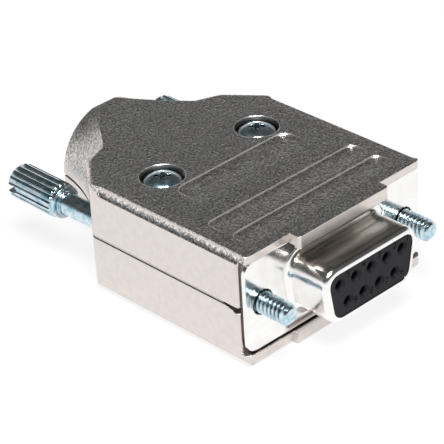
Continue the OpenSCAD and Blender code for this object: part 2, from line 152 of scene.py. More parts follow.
@dataclass
class SharedEffects:
    """Node groups for what several finishes have in common, each built once."""

    groups: dict[str, bpy.types.NodeTree] = field(default_factory=dict)

    def _group(self, name: str, inputs: Sequence[tuple[str, str, Any]], outputs: Sequence[tuple[str, str]],
               fill: Callable[[Graph, bpy.types.Node, bpy.types.Node], None]) -> bpy.types.NodeTree:
        """Builds a group once and keeps it.

        Args:
            name: the group's name.
            inputs: name, socket type and default of each input.
            outputs: name and socket type of each output.
            fill: writes the nodes between the group's input and output node.

        Returns:
            The group's tree.
        """
        if name not in self.groups:
            tree = bpy.data.node_groups.new(name, "ShaderNodeTree")
            for label, kind, value in inputs:
                socket = tree.interface.new_socket(name=label, in_out="INPUT", socket_type=kind)
                if value is not None:
                    socket.default_value = value
            for label, kind in outputs:
                tree.interface.new_socket(name=label, in_out="OUTPUT", socket_type=kind)
            start, end = tree.nodes.new("NodeGroupInput"), tree.nodes.new("NodeGroupOutput")
            fill(Graph(tree), start, end)
            self.groups[name] = tree
        return self.groups[name]

    def grain(self) -> bpy.types.NodeTree:
        """The eroded grain of a plated casting: fine pits over a slow unevenness."""
        def fill(g: Graph, start: bpy.types.Node, end: bpy.types.Node) -> None:
            """Writes two noises and a cell pattern."""
            scale = g.math("DIVIDE", 1.0, start.outputs["Size"])
            fine = g.add("TexNoise", {"Vector": start.outputs["Position"], "Scale": scale, "Detail": 3.0,
                                      "Roughness": 0.6})
            slow = g.add("TexNoise", {"Vector": start.outputs["Position"], "Scale": g.math("MULTIPLY", scale, 0.31),
                                      "Detail": 2.0, "Roughness": 0.5})
            cells = g.add("TexVoronoi", {"Vector": start.outputs["Position"], "Scale": g.math("MULTIPLY", scale, 0.8)},
                          feature="SMOOTH_F1")
            height = g.math("ADD", g.math("MULTIPLY", fine.outputs[0], 0.55),
                            g.math("MULTIPLY", slow.outputs[0], 0.35))
            height = g.math("SUBTRACT", height, g.math("MULTIPLY", cells.outputs["Distance"], 0.3))
            g.tree.links.new(height, end.inputs["Height"])
            g.tree.links.new(g.span(fine.outputs[0], 0.42, 0.60), end.inputs["Specks"])
            g.tree.links.new(g.span(slow.outputs[0], 0.35, 0.68), end.inputs["Clouds"])
        return self._group("cast_grain", [("Position", "NodeSocketVector", None), ("Size", "NodeSocketFloat", 0.0003)],
                           [("Height", "NodeSocketFloat"), ("Specks", "NodeSocketFloat"), ("Clouds", "NodeSocketFloat")],
                           fill)

    def rounding(self) -> bpy.types.NodeTree:
        """The rounded normal of every edge, and an edge mask that some finishes use for painted highlights."""
        def fill(g: Graph, start: bpy.types.Node, end: bpy.types.Node) -> None:
            """Compares the rounded normal with the face's own."""
            soft = g.add("Bevel", {"Radius": start.outputs["Radius"]}, samples=8)
            flat = g.add("NewGeometry")
            dot = g.add("VectorMath", {0: soft.outputs[0], 1: flat.outputs["Normal"]}, operation="DOT_PRODUCT")
            g.tree.links.new(soft.outputs[0], end.inputs["Normal"])
            g.tree.links.new(g.span(dot.outputs["Value"], 0.995, 0.80), end.inputs["Edge"])
        return self._group("worn_edge", [("Radius", "NodeSocketFloat", 0.00015)],
                           [("Normal", "NodeSocketVector"), ("Edge", "NodeSocketFloat")], fill)

    def crevice(self) -> bpy.types.NodeTree:
        """Painted shade in gaps and inner corners, from an occlusion mask."""
        def fill(g: Graph, start: bpy.types.Node, end: bpy.types.Node) -> None:
            """Writes an occlusion mask."""
            # painted shade: strong occlusion gives the mask for a darker colour
            near = g.add("AmbientOcclusion", {"Distance": start.outputs["Width"]}, samples=8)
            g.tree.links.new(g.span(near.outputs["AO"], 0.80, 0.34), end.inputs["Soil"])
        return self._group("crevice_soil", [("Width", "NodeSocketFloat", 0.0006)], [("Soil", "NodeSocketFloat")], fill)

    def handling(self) -> bpy.types.NodeTree:
        """Faint smudges and wiping marks of handling."""
        def fill(g: Graph, start: bpy.types.Node, end: bpy.types.Node) -> None:
            """Writes a distorted noise."""
            scale = g.math("DIVIDE", 1.0, start.outputs["Size"])
            marks = g.add("TexNoise", {"Vector": start.outputs["Position"], "Scale": scale, "Detail": 3.0,
                                       "Roughness": 0.55, "Distortion": 1.2})
            g.tree.links.new(g.span(marks.outputs[0], 0.35, 0.7), end.inputs["Marks"])
        return self._group("handling_marks", [("Position", "NodeSocketVector", None),
                                              ("Size", "NodeSocketFloat", 0.004)],
                           [("Marks", "NodeSocketFloat")], fill)


# ---- finishes -----------------------------------------------------------------------------
@dataclass(frozen=True)
class Finish:
    """What all finishes share: a name, a colour and the width of the rounded edges."""

    name: str
    colour: Colour
    roughness: float
    edge_mm: float = 0.12

    def begin(self, effects: SharedEffects) -> tuple[Graph, bpy.types.Node, bpy.types.NodeSocket, bpy.types.Node]:
        """Starts the material.

        Args:
            effects: the shared groups.

        Returns:
            The graph, the Principled node, the object position and the node of the rounded edges.
        """
        material = bpy.data.materials.new(self.name)
        material.use_nodes = True
        material.node_tree.nodes.clear()
        g = Graph(material.node_tree)
        out = g.add("OutputMaterial")
        shader = g.add("BsdfPrincipled", {"Base Color": (*self.colour, 1.0), "Roughness": self.roughness})
        g.tree.links.new(shader.outputs[0], out.inputs["Surface"])
        position = g.add("TexCoord").outputs["Object"]
        edge = g.add("Group", node_tree=effects.rounding())
        edge.inputs["Radius"].default_value = self.edge_mm * MM
        g.tree.links.new(edge.outputs["Normal"], shader.inputs["Normal"])
        return g, shader, position, edge

    @staticmethod
    def bump(g: Graph, shader: bpy.types.Node, edge: bpy.types.Node, height: Any, depth_mm: Any,
             strength: float = 1.0) -> None:
        """Puts a bump over the rounded normal.

        Args:
            g: the material's graph.
            shader: its Principled node.
            edge: the node of the rounded edges.
            height: a height from 0 to 1.
            depth_mm: what a height of 1 measures.
            strength: share of the bump.
        """
        node = g.add("Bump", {"Height": height, "Distance": depth_mm * MM, "Strength": strength,
                              "Normal": edge.outputs["Normal"]})
        g.tree.links.new(node.outputs[0], shader.inputs["Normal"])

    @staticmethod
    def done(g: Graph) -> bpy.types.Material:
        """Returns the material that owns the graph."""
        return next(m for m in bpy.data.materials if m.node_tree == g.tree)


@dataclass(frozen=True)
class CastNickel(Finish):
    """Nickel on die-cast zinc: satin sides and an eroded grain on the broad faces and the coves, with painted shade on
    the faces that face up, on the upper barrel and in crevices, and painted highlights on the grip-step edges.
    """

    # broad: a darker base colour for the faces that face up and for the upper barrel, a painted shade
    broad: Colour = (0.56, 0.55, 0.53)
    broad_roughness: float = 0.27
    grain_mm: float = 0.30
    grain_depth_mm: float = 0.11
    # the colour of the painted shade in crevices
    soil: Colour = (0.07, 0.055, 0.048)

    def build(self, effects: SharedEffects) -> bpy.types.Material:
        """Writes the nodes and returns the material."""
        g, shader, position, edge = self.begin(effects)
        shader.inputs["Metallic"].default_value = 1.0
        grain = g.add("Group", {"Position": position, "Size": self.grain_mm * MM}, node_tree=effects.grain())
        marks = g.add("Group", {"Position": position, "Size": 0.006}, node_tree=effects.handling())
        flat = g.add("SeparateXYZ", {0: g.add("NewGeometry").outputs["Normal"]})
        place = g.add("SeparateXYZ", {0: position})
        side = g.math("ABSOLUTE", place.outputs[0])
        level = g.math("ABSOLUTE", place.outputs[2])
        outside = g.span(level, 6.6 * MM, 6.9 * MM)
        # up marks the outer faces that face up; barrel marks the barrel flank, more strongly higher up; both get a
        # painted shade
        up = g.math("MULTIPLY", g.span(g.math("ABSOLUTE", flat.outputs[2]), 0.55, 0.93), outside)
        barrel = g.math("MULTIPLY", g.span(place.outputs[1], 30.9 * MM, 33.0 * MM),
                        g.span(place.outputs[2], 0.3 * MM, 3.2 * MM, (0.0, 0.92)))
        cove = g.math("MULTIPLY", g.span(side, 13.8 * MM, 14.4 * MM),
                      g.math("MULTIPLY", g.span(place.outputs[2], 5.8 * MM, 6.2 * MM),
                             g.span(g.math("ABSOLUTE", flat.outputs[2]), 0.06, 0.16)))
        # rough: the grain, roughness and bump there are real; the darker colour it brings is painted shade
        rough = g.math("MAXIMUM", g.math("MAXIMUM", up, cove), barrel)
        pitted = g.blend(grain.outputs["Specks"], (0.34, 0.32, 0.31), (0.92, 0.89, 0.87))
        side_colour = g.blend(g.math("MULTIPLY", grain.outputs["Clouds"], 0.35), self.colour,
                              tuple(0.86 * c for c in self.colour))
        # painted shade: the darker broad colour, speckled by the grain
        broad = g.blend(grain.outputs["Specks"], tuple(0.50 * c for c in self.broad),
                        tuple(1.5 * c for c in self.broad))
        broad = g.blend(g.math("MULTIPLY", marks.outputs["Marks"], 0.25), broad, tuple(0.8 * c for c in self.broad))
        colour = g.blend(cove, g.blend(rough, side_colour, broad), pitted)
        # painted shade: a darker colour in gaps and inner corners, weaker on the outer top
        soil = g.add("Group", node_tree=effects.crevice())
        # painted highlight: a lighter colour on the edges of the grip steps on the outer top
        grip = g.math("MULTIPLY", g.span(side, 13.5 * MM, 13.2 * MM), g.span(place.outputs[1], 1.2 * MM, 1.8 * MM))
        grip_highlight = g.math("MULTIPLY", g.math("MULTIPLY", grip, outside), edge.outputs["Edge"])
        colour = g.blend(g.math("MULTIPLY", soil.outputs["Soil"], g.math("MULTIPLY_ADD", outside, -0.85, 1.0)),
                         colour, self.soil)
        colour = g.blend(g.math("MULTIPLY", grip_highlight, 0.85), colour, (0.95, 0.92, 0.89))
        g.tree.links.new(colour, shader.inputs["Base Color"])
        base = g.math("MULTIPLY_ADD", rough, self.broad_roughness - self.roughness, self.roughness)
        g.tree.links.new(g.math("MULTIPLY_ADD", grain.outputs["Clouds"], 0.06, base), shader.inputs["Roughness"])
        height = g.math("MULTIPLY", grain.outputs["Height"], g.math("MULTIPLY_ADD", rough, 0.92, 0.08))
        self.bump(g, shader, edge, height, self.grain_depth_mm)
        return self.done(g)


@dataclass(frozen=True)
class BrightSheet(Finish):
    """Bright tin on drawn steel sheet, with faint drawing lines, smudges, painted shade on what faces up, broken by
    streaks, and painted shade in crevices.
    """

    # the colour of the painted shade on what faces up
    film: Colour = (0.36, 0.34, 0.29)

    def build(self, effects: SharedEffects) -> bpy.types.Material:
        """Writes the nodes and returns the material."""
        g, shader, position, edge = self.begin(effects)
        shader.inputs["Metallic"].default_value = 1.0
        marks = g.add("Group", {"Position": position, "Size": 0.0035}, node_tree=effects.handling())
        lines = g.add("TexNoise", {"Vector": g.add("Mapping", {0: position, "Scale": (160.0, 1400.0, 1400.0)}).outputs[0],
                                   "Scale": 1.0, "Detail": 2.0})
        colour = g.blend(g.math("MULTIPLY", marks.outputs["Marks"], 0.3), self.colour, (0.84, 0.83, 0.79))
        # painted shade: a darker colour on faces that face up, broken by streaks
        facing = g.add("SeparateXYZ", {0: g.add("NewGeometry").outputs["Normal"]}).outputs[2]
        streaks = g.add("TexNoise", {"Vector": g.add("Mapping", {0: position, "Scale": (70.0, 900.0, 300.0)}).outputs[0],
                                     "Scale": 1.0, "Detail": 3.0})
        film = g.math("MULTIPLY", g.span(facing, 0.80, 0.97), g.span(streaks.outputs[0], 0.30, 0.62, (1.0, 0.45)))
        colour = g.blend(film, colour, self.film)
        # painted shade: a darker colour in gaps and inner corners
        soil = g.add("Group", {"Width": 0.0005}, node_tree=effects.crevice())
        colour = g.blend(g.math("MULTIPLY", soil.outputs["Soil"], 0.8), colour, (0.10, 0.095, 0.09))
        g.tree.links.new(colour, shader.inputs["Base Color"])
        rough = g.math("MULTIPLY_ADD", marks.outputs["Marks"], 0.08, self.roughness)
        g.tree.links.new(rough, shader.inputs["Roughness"])
        self.bump(g, shader, edge, lines.outputs[0], 0.008)
        return self.done(g)


@dataclass(frozen=True)
class BlueZinc(Finish):
    """Glossy blue-white zinc plate with its uneven passivation, painted highlights on its edges and painted shade in
    its crevices.
    """

    tint: Colour = (0.34, 0.56, 0.66)

    def build(self, effects: SharedEffects) -> bpy.types.Material:
        """Writes the nodes and returns the material."""
        g, shader, position, edge = self.begin(effects)
        shader.inputs["Metallic"].default_value = 1.0
        grain = g.add("Group", {"Position": position, "Size": 0.0004}, node_tree=effects.grain())
        marks = g.add("Group", {"Position": position, "Size": 0.0016}, node_tree=effects.handling())
        colour = g.blend(marks.outputs["Marks"], self.colour, self.tint)
        # painted highlight: a near-white colour on the rounded edges
        colour = g.blend(g.math("MULTIPLY", edge.outputs["Edge"], 0.4), colour, (0.93, 0.95, 0.96))
        # painted shade: a dark colour in gaps and inner corners
        soil = g.add("Group", {"Width": 0.0008}, node_tree=effects.crevice())
        colour = g.blend(soil.outputs["Soil"], colour, (0.035, 0.05, 0.06))
        g.tree.links.new(colour, shader.inputs["Base Color"])
        rough = g.math("MULTIPLY_ADD", grain.outputs["Clouds"], 0.14, self.roughness)
        g.tree.links.new(rough, shader.inputs["Roughness"])
        self.bump(g, shader, edge, grain.outputs["Height"], 0.02)
        return self.done(g)


@dataclass(frozen=True)
class BlackMoulding(Finish):
    """Dull black glass-filled plastic, with painted shade in its crevices."""

    def build(self, effects: SharedEffects) -> bpy.types.Material:
        """Writes the nodes and returns the material."""
        g, shader, position, edge = self.begin(effects)
        shader.inputs["Specular IOR Level"].default_value = 0.22
        grain = g.add("Group", {"Position": position, "Size": 0.00022}, node_tree=effects.grain())
        colour = g.blend(grain.outputs["Clouds"], self.colour, tuple(1.35 * c for c in self.colour))
        # painted shade: a near-black colour in gaps and inner corners
        soil = g.add("Group", {"Width": 0.0003}, node_tree=effects.crevice())
        colour = g.blend(soil.outputs["Soil"], colour, (0.002, 0.002, 0.002))
        g.tree.links.new(colour, shader.inputs["Base Color"])
        rough = g.math("MULTIPLY_ADD", grain.outputs["Clouds"], 0.12, self.roughness)
        g.tree.links.new(rough, shader.inputs["Roughness"])
        self.bump(g, shader, edge, grain.outputs["Height"], 0.012)
        return self.done(g)


@dataclass(frozen=True)
class PlainPlate(Finish):
    """A plated or phosphated metal of one colour, with a fine grain and smudges."""

    second: Colour = (0.5, 0.5, 0.5)

    def build(self, effects: SharedEffects) -> bpy.types.Material:
        """Writes the nodes and returns the material."""
        g, shader, position, edge = self.begin(effects)
        shader.inputs["Metallic"].default_value = 1.0
        grain = g.add("Group", {"Position": position, "Size": 0.0003}, node_tree=effects.grain())
        g.tree.links.new(g.blend(grain.outputs["Clouds"], self.colour, self.second), shader.inputs["Base Color"])
        rough = g.math("MULTIPLY_ADD", grain.outputs["Clouds"], 0.15, self.roughness)
        g.tree.links.new(rough, shader.inputs["Roughness"])
        self.bump(g, shader, edge, grain.outputs["Height"], 0.01)
        return self.done(g)


@dataclass
class Finishes:
    """One material of each finish."""

    effects: SharedEffects = field(default_factory=SharedEffects)
    nickel: bpy.types.Material = field(init=False)
    tin: bpy.types.Material = field(init=False)
    zinc: bpy.types.Material = field(init=False)
    black: bpy.types.Material = field(init=False)
    gold: bpy.types.Material = field(init=False)
    phosphate: bpy.types.Material = field(init=False)

    def __post_init__(self) -> None:
        """Builds every material."""
        e = self.effects
        self.nickel = CastNickel("hood_nickel_cast", (0.77, 0.705, 0.67), 0.30, 0.2).build(e)
        self.tin = BrightSheet("shell_tinned_sheet", (0.95, 0.945, 0.935), 0.13, 0.1).build(e)
        self.zinc = BlueZinc("screw_blue_zinc", (0.72, 0.82, 0.87), 0.14, 0.05).build(e)
        self.black = BlackMoulding("insulator_black_moulding", (0.009, 0.009, 0.011), 0.52, 0.05).build(e)
        self.gold = PlainPlate("contact_gold_flash", (0.72, 0.54, 0.26), 0.28, 0.04, (0.60, 0.43, 0.20)).build(e)
        self.phosphate = PlainPlate("ring_phosphated", (0.30, 0.31, 0.33), 0.42, 0.05, (0.20, 0.21, 0.22)).build(e)


# ---- mesh work ----------------------------------------------------------------------------
@dataclass(frozen=True)
class Workshop:
    """Turns, extrudes and finishes meshes."""

    def turn(self, profile: Profile, steps: int) -> bmesh.types.BMesh:
        """Spins a profile fully round Z.

        Args:
            profile: radius and height of each point, in millimetres; radius 0 closes a pole.
            steps: steps of the spin.

        Returns:
            The turned mesh, in metres.
        """
        bm = bmesh.new()
        verts = [bm.verts.new((r * MM, 0.0, z * MM)) for r, z in profile]
        edges = [bm.edges.new(pair) for pair in zip(verts, verts[1:])]
        bmesh.ops.spin(bm, geom=verts + edges, cent=(0, 0, 0), axis=(0, 0, 1), dvec=(0, 0, 0),
                       angle=math.tau, steps=steps, use_merge=True)
        bmesh.ops.remove_doubles(bm, verts=bm.verts[:], dist=1e-7)
        bmesh.ops.recalc_face_normals(bm, faces=bm.faces[:])
        return bm

    def helix(self, profile: Profile, pitch: float, turns: int, steps: int, start: float) -> bmesh.types.BMesh:
        """Spins a profile of one pitch along Z, so that each turn meets the next.

        Args:
            profile: radius and height of each point over one pitch, in millimetres.
            pitch: rise of one turn.
            turns: number of turns.
            steps: steps of one turn.
            start: where the first turn begins.

        Returns:
            The open mesh of the turns, in metres.
        """
        bm = bmesh.new()
        verts = [bm.verts.new((r * MM, 0.0, (z + start) * MM)) for r, z in profile]
        edges = [bm.edges.new(pair) for pair in zip(verts, verts[1:])]
        bmesh.ops.spin(bm, geom=verts + edges, cent=(0, 0, 0), axis=(0, 0, 1), dvec=(0, 0, pitch * MM / steps),
                       angle=math.tau * turns, steps=steps * turns, use_merge=False)
        bmesh.ops.remove_doubles(bm, verts=bm.verts[:], dist=2e-6)
        return bm

    def cut_to(self, bm: bmesh.types.BMesh, height: float, keep_above: bool) -> None:
        """Cuts a mesh at a height in millimetres, keeps one side and closes the cut."""
        way = -1 if keep_above else 1
        cut = bmesh.ops.bisect_plane(bm, geom=bm.verts[:] + bm.edges[:] + bm.faces[:], dist=1e-8,
                                     plane_co=(0, 0, height * MM), plane_no=(0, 0, way), clear_outer=True)
        rim = [e for e in cut["geom_cut"] if isinstance(e, bmesh.types.BMEdge) and e.is_boundary]
        bmesh.ops.edgeloop_fill(bm, edges=rim)

    def raise_steps(self, bm: bmesh.types.BMesh, face: bmesh.types.BMFace, steps: Profile) -> None:
        """Insets and raises one face again and again, along a profile.

        Args:
            bm: the mesh.
            face: the face to begin with; it stays at the end of the steps.
            steps: inset and rise of each step, in millimetres.
        """
        for thick, rise in steps:
            if abs(thick) < 1e-9:
                bmesh.ops.inset_region(bm, faces=[face], thickness=1e-9, depth=0.0, use_even_offset=False)
                bmesh.ops.translate(bm, vec=face.normal * rise * MM, verts=face.verts[:])
            else:
                bmesh.ops.inset_region(bm, faces=[face], thickness=abs(thick) * MM, depth=rise * MM,
                                       use_even_offset=True, use_outset=thick < 0)

    def join(self, bm: bmesh.types.BMesh, other: bmesh.types.BMesh) -> None:
        """Moves all of another mesh into this one."""
        scratch = bpy.data.meshes.new("scratch")
        other.to_mesh(scratch)
        other.free()
        bm.from_mesh(scratch)
        bpy.data.meshes.remove(scratch)

    def to_object(self, bm: bmesh.types.BMesh, name: str, sharp_deg: float = 34.0,
                  flat_mm2: float = 1e9) -> bpy.types.Object:
        """Makes a shaded object of a mesh.

        Args:
            bm: the mesh, which is freed.
            name: the piece's name.
            sharp_deg: edges sharper than this stay sharp in the shading.
            flat_mm2: faces larger than this are shaded flat.

        Returns:
            The object, at the origin.
        """
        mesh = bpy.data.meshes.new(name)
        bm.to_mesh(mesh)
        bm.free()
        mesh.shade_smooth()
        mesh.set_sharp_from_angle(angle=math.radians(sharp_deg))
        for face in mesh.polygons:
            face.use_smooth = face.area < flat_mm2 * MM * MM
        piece = bpy.data.objects.new(name, mesh)
        bpy.context.scene.collection.objects.link(piece)
        weighted = piece.modifiers.new("weighted", "WEIGHTED_NORMAL")
        weighted.keep_sharp = True
        return piece

    def carve(self, piece: bpy.types.Object, cutter: bmesh.types.BMesh) -> None:
        """Takes a cutter's space out of a piece and applies the result.

        Args:
            piece: the piece that is cut.
            cutter: a closed mesh, which is freed.
        """
        mesh = bpy.data.meshes.new("cutter")
        cutter.to_mesh(mesh)
        cutter.free()
        tool = bpy.data.objects.new("cutter", mesh)
        bpy.context.scene.collection.objects.link(tool)
        cut = piece.modifiers.new("cut", "BOOLEAN")
        cut.operation, cut.solver, cut.object = "DIFFERENCE", "EXACT", tool
        while piece.modifiers[0] != cut:
            piece.modifiers.move(piece.modifiers.find("cut"), 0)
        others = [m for m in piece.modifiers if m != cut]
        for m in others:
            m.show_viewport = False
        bpy.context.view_layer.update()
        graph = bpy.context.evaluated_depsgraph_get()
        made = bpy.data.meshes.new_from_object(piece.evaluated_get(graph))
        old = piece.data
        piece.modifiers.remove(cut)
        piece.data = made
        made.name = piece.name
        for m in others:
            m.show_viewport = True
        bpy.data.objects.remove(tool)
        bpy.data.meshes.remove(mesh)
        bpy.data.meshes.remove(old)

    def dress(self, piece: bpy.types.Object, material: bpy.types.Material, body: Body, slot: Slot,
              *nodes: str) -> bpy.types.Object:
        """Gives a piece its finish, its body and the nodes that it stands for.

        Args:
            piece: the piece.
            material: its finish.
            body: the body that it rides on.
            slot: the record's material slot; not used.
            *nodes: the nodes that it replaces.

        Returns:
            The piece.
        """
        piece.data.materials.clear()
        piece.data.materials.append(material)
        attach(piece, body.value)
        if nodes:
            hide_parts(*nodes)
        return piece

    def repaint(self, node: str, material: bpy.types.Material) -> None:
        """Gives a node that is carried over its finish."""
        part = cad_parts[node]
        if not part.material_slots:
            part.data.materials.append(material)
        for place in part.material_slots:
            place.material = material


# ---- the hood -----------------------------------------------------------------------------
@dataclass
class DieCastHood:
    """The two halves of the hood, their screws and the cable clamp."""

    shop: Workshop
    finishes: Finishes
    merge_mm: float = 0.006
    head_r: float = 2.6
    head_low: float = 5.75
    head_high: float = 7.65

    def half(self, node: str, name: str) -> bpy.types.Object:
        """Dresses one half.

        Args:
            node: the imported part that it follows.
            name: the piece's name.

        Returns:
            The piece.
        """
        bm = bmesh.new()
        bm.from_mesh(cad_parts[node].data)
        bmesh.ops.remove_doubles(bm, verts=bm.verts[:], dist=self.merge_mm * MM)
        bmesh.ops.dissolve_limit(bm, angle_limit=math.radians(0.4), verts=bm.verts[:], edges=bm.edges[:],
                                 use_dissolve_boundaries=False, delimit=set())
        piece = self.shop.to_object(bm, name, 26.0, 1.2)
        return self.shop.dress(piece, self.finishes.nickel, Body.HOUSING, Slot.HOOD, node)

    def cross(self, x: float, y: float) -> list[bmesh.types.BMesh]:
        """The cutters of a cross recess: two tapered wings and a pilot.

        Args:
            x: place across.
            y: place along.

        Returns:
            The closed cutters, in metres.
        """
        cutters = []
        for angle in (0.25, 0.75):
            wing = bmesh.new()
            bmesh.ops.create_cube(wing, size=1.0)
            bmesh.ops.scale(wing, vec=(3.3, 0.68, 2.2), verts=wing.verts[:])
            low = [v for v in wing.verts if v.co.z < 0]
            bmesh.ops.scale(wing, vec=(0.34, 0.62, 1.0), verts=low)
            bmesh.ops.rotate(wing, cent=(0, 0, 0), matrix=Matrix.Rotation(math.pi * angle, 3, "Z"),
                             verts=wing.verts[:])
            cutters.append(wing)
        pilot = bmesh.new()
        bmesh.ops.create_cone(pilot, cap_ends=True, segments=24, radius1=0.3, radius2=0.9, depth=2.2)
        cutters.append(pilot)
        for cutter in cutters:
            bmesh.ops.scale(cutter, vec=(MM,) * 3, verts=cutter.verts[:])
            bmesh.ops.translate(cutter, vec=(x * MM, y * MM, (self.head_high - 0.1) * MM), verts=cutter.verts[:])
            bmesh.ops.recalc_face_normals(cutter, faces=cutter.faces[:])
        return cutters

    def hood_screw(self, side: Side) -> bpy.types.Object:
        """Turns one screw with a domed head and cuts its cross recess."""
        node = f"hood_screw_{side.name.lower()}"
        low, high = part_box(node)
        x, y = (low.x + high.x) / 2 / MM, (low.y + high.y) / 2 / MM
        r, z0, z1 = self.head_r, self.head_low, self.head_high
        arc = [(r * math.sin(a), z0 + 0.72 + (z1 - z0 - 0.72) * math.cos(a))
               for a in (math.radians(d) for d in range(0, 91, 6))]
        profile = [(0.0, low.z / MM), (1.0, low.z / MM), (1.45, low.z / MM + 0.7), (1.45, z0), (r - 0.12, z0),
                   (r, z0 + 0.1), *reversed(arc[1:]), (0.0, z1)]
        bm = self.shop.turn(profile, 72)
        bmesh.ops.translate(bm, vec=(x * MM, y * MM, 0), verts=bm.verts[:])
        piece = self.shop.to_object(bm, f"hood_screw_{side.name.lower()}_domed", 40.0)
        for cutter in self.cross(x, y):
            self.shop.carve(piece, cutter)
        piece.data.set_sharp_from_angle(angle=math.radians(30))
        return self.shop.dress(piece, self.finishes.zinc, Body.HOUSING, Slot.SCREW, node)

    def build(self) -> list[bpy.types.Object]:
        """Builds every piece of the hood and returns them."""
        for node in ("clamp_screw_left", "clamp_screw_right"):
            self.shop.repaint(node, self.finishes.zinc)
        self.shop.repaint("cable_strap", self.finishes.tin)
        return [self.half("hood_top", "hood_top_cast"), self.half("hood_bottom", "hood_bottom_cast"),
                self.hood_screw(Side.LEFT), self.hood_screw(Side.RIGHT)]


# ---- the socket ---------------------------------------------------------------------------
@dataclass
class Socket:
    """The front shell with its drawn nose, the insulator face and the parts behind them."""

    shop: Workshop
    finishes: Finishes
    width: float = 30.81
    height: float = 12.5
    corner_r: float = 1.6
    sheet: float = 0.5
    nose_width: float = 16.33
    nose_height: float = 7.9
    nose_r: float = 2.3
    nose_deg: float = 10.0
    reach: float = 6.12
    wall: float = 0.4
    turned_in: float = 0.4
    root_r: float = 0.9
    front_r: float = 0.75
    hole_r: float = 1.65
    digit_mm: float = 1.0

    def plate(self, bm: bmesh.types.BMesh, corners: Profile, radius: float) -> bmesh.types.BMFace:
        """Adds a face in the XZ plane with rounded corners.

        Args:
            bm: the mesh.
            corners: the sharp corners, counterclockwise seen from the front.
            radius: the radius of the corners.

        Returns:
            The face.
        """
        verts = [bm.verts.new((x * MM, 0.0, z * MM)) for x, z in corners]
        face = bm.faces.new(verts)
        for vert in verts:
            inner = [e.other_vert(vert).co - vert.co for e in vert.link_edges]
            half = inner[0].angle(inner[1]) / 2
            made = bmesh.ops.bevel(bm, geom=[vert], offset=radius / math.tan(half) * MM, offset_type="OFFSET",
                                   segments=10, profile=0.5, affect="VERTICES", material=-1)
            face = made["faces"][0] if made["faces"] else face
        return next(f for f in bm.faces if f.is_valid and len(f.verts) >= 4 and not f.tag)

    def d_corners(self, grow: float) -> list[tuple[float, float]]:
        """The sharp corners of the nose's outline, grown all round."""
        lean = math.tan(math.radians(self.nose_deg))
        half_z = self.nose_height / 2 + grow
        run = self.nose_height - 2 * self.nose_r
        top = self.nose_width / 2 - self.nose_r
        ease = (self.nose_r + grow) / math.cos(math.radians(self.nose_deg))
        high = self.nose_height / 2 - self.nose_r
        upper = top + ease + (half_z - high) * lean
        lower = top - run * lean + ease - (half_z - high) * lean
        return [(-lower, -half_z), (lower, -half_z), (upper, half_z), (-upper, half_z)]

    def quarter(self, radius: float, parts: int, outwards: bool) -> list[tuple[float, float]]:
        """Inset and rise of each step of a quarter round.

        Args:
            radius: the radius.
            parts: the number of steps.
            outwards: True for a root that starts flat, False for a shoulder that ends flat.

        Returns:
            The steps for raise_steps.
        """
        angles = [math.pi / 2 * k / parts for k in range(parts + 1)]
        places = [(radius * math.sin(a), radius * (1 - math.cos(a))) for a in angles]
        if not outwards:
            places = [(radius * (1 - math.cos(a)), radius * math.sin(a)) for a in angles]
        return [(b[0] - a[0], b[1] - a[1]) for a, b in zip(places, places[1:])]

    def front_shell(self) -> bpy.types.Object:
        """Draws the nose out of the flange in one sheet and returns the piece."""
        bm = bmesh.new()
        w, h = self.width / 2, self.height / 2
        self.plate(bm, [(-w, -h), (w, -h), (w, h), (-w, h)], self.corner_r)
        bmesh.ops.delete(bm, geom=bm.faces[:], context="FACES_ONLY")
        for x in (-SCREW_X, SCREW_X):
            ring = bmesh.ops.create_circle(bm, cap_ends=False, segments=48, radius=self.hole_r * MM)["verts"]
            bmesh.ops.rotate(bm, cent=(0, 0, 0), matrix=Matrix.Rotation(math.pi / 2, 3, "X"), verts=ring)
            bmesh.ops.translate(bm, vec=(x * MM, 0, 0), verts=ring)
        nose = bmesh.new()
        self.plate(nose, self.d_corners(self.root_r), self.nose_r + self.root_r)
        self.shop.join(bm, nose)
        bmesh.ops.triangle_fill(bm, edges=bm.edges[:], use_beauty=True, use_dissolve=False, normal=(0, -1, 0))
        face = max(bm.faces, key=lambda f: len(f.verts))
        bmesh.ops.recalc_face_normals(bm, faces=bm.faces[:])
        if face.normal.y > 0:
            bmesh.ops.reverse_faces(bm, faces=bm.faces[:])
        sheet_faces = [f for f in bm.faces if f != face]
        flat = self.reach - self.root_r - self.front_r
        steps = self.quarter(self.root_r, 8, True) + [(0.0, flat / 3)] * 3 + self.quarter(self.front_r, 8, False)
        inwards = self.wall + self.turned_in - self.front_r
        steps += [(max(inwards, 0.04), 0.0), (0.06, -0.05), (0.0, -(self.wall - 0.05)), (-0.38, 0.0),
                  (0.0, -(self.reach - self.wall - 0.6))]
        self.shop.raise_steps(bm, face, steps)
        bmesh.ops.delete(bm, geom=[face], context="FACES_ONLY")
        back = bmesh.ops.extrude_face_region(bm, geom=sheet_faces, use_keep_orig=True)
        moved = [v for v in back["geom"] if isinstance(v, bmesh.types.BMVert)]
        bmesh.ops.translate(bm, vec=(0, self.sheet * MM, 0), verts=moved)
        turned = [f for f in back["geom"] if isinstance(f, bmesh.types.BMFace)]
        bmesh.ops.reverse_faces(bm, faces=turned)
        rims = [e for e in bm.edges if e.is_manifold and e.calc_face_angle(0.0) > math.radians(70)
                and min(abs(v.co.y) for v in e.verts) < 1e-6]
        bmesh.ops.bevel(bm, geom=rims, offset=0.1 * MM, offset_type="OFFSET", segments=3, profile=0.5,
                        affect="EDGES", material=-1)
        piece = self.shop.to_object(bm, "front_shell_drawn", 40.0)
        return self.shop.dress(piece, self.finishes.tin, Body.HOUSING, Slot.SHELL, "front_shell")

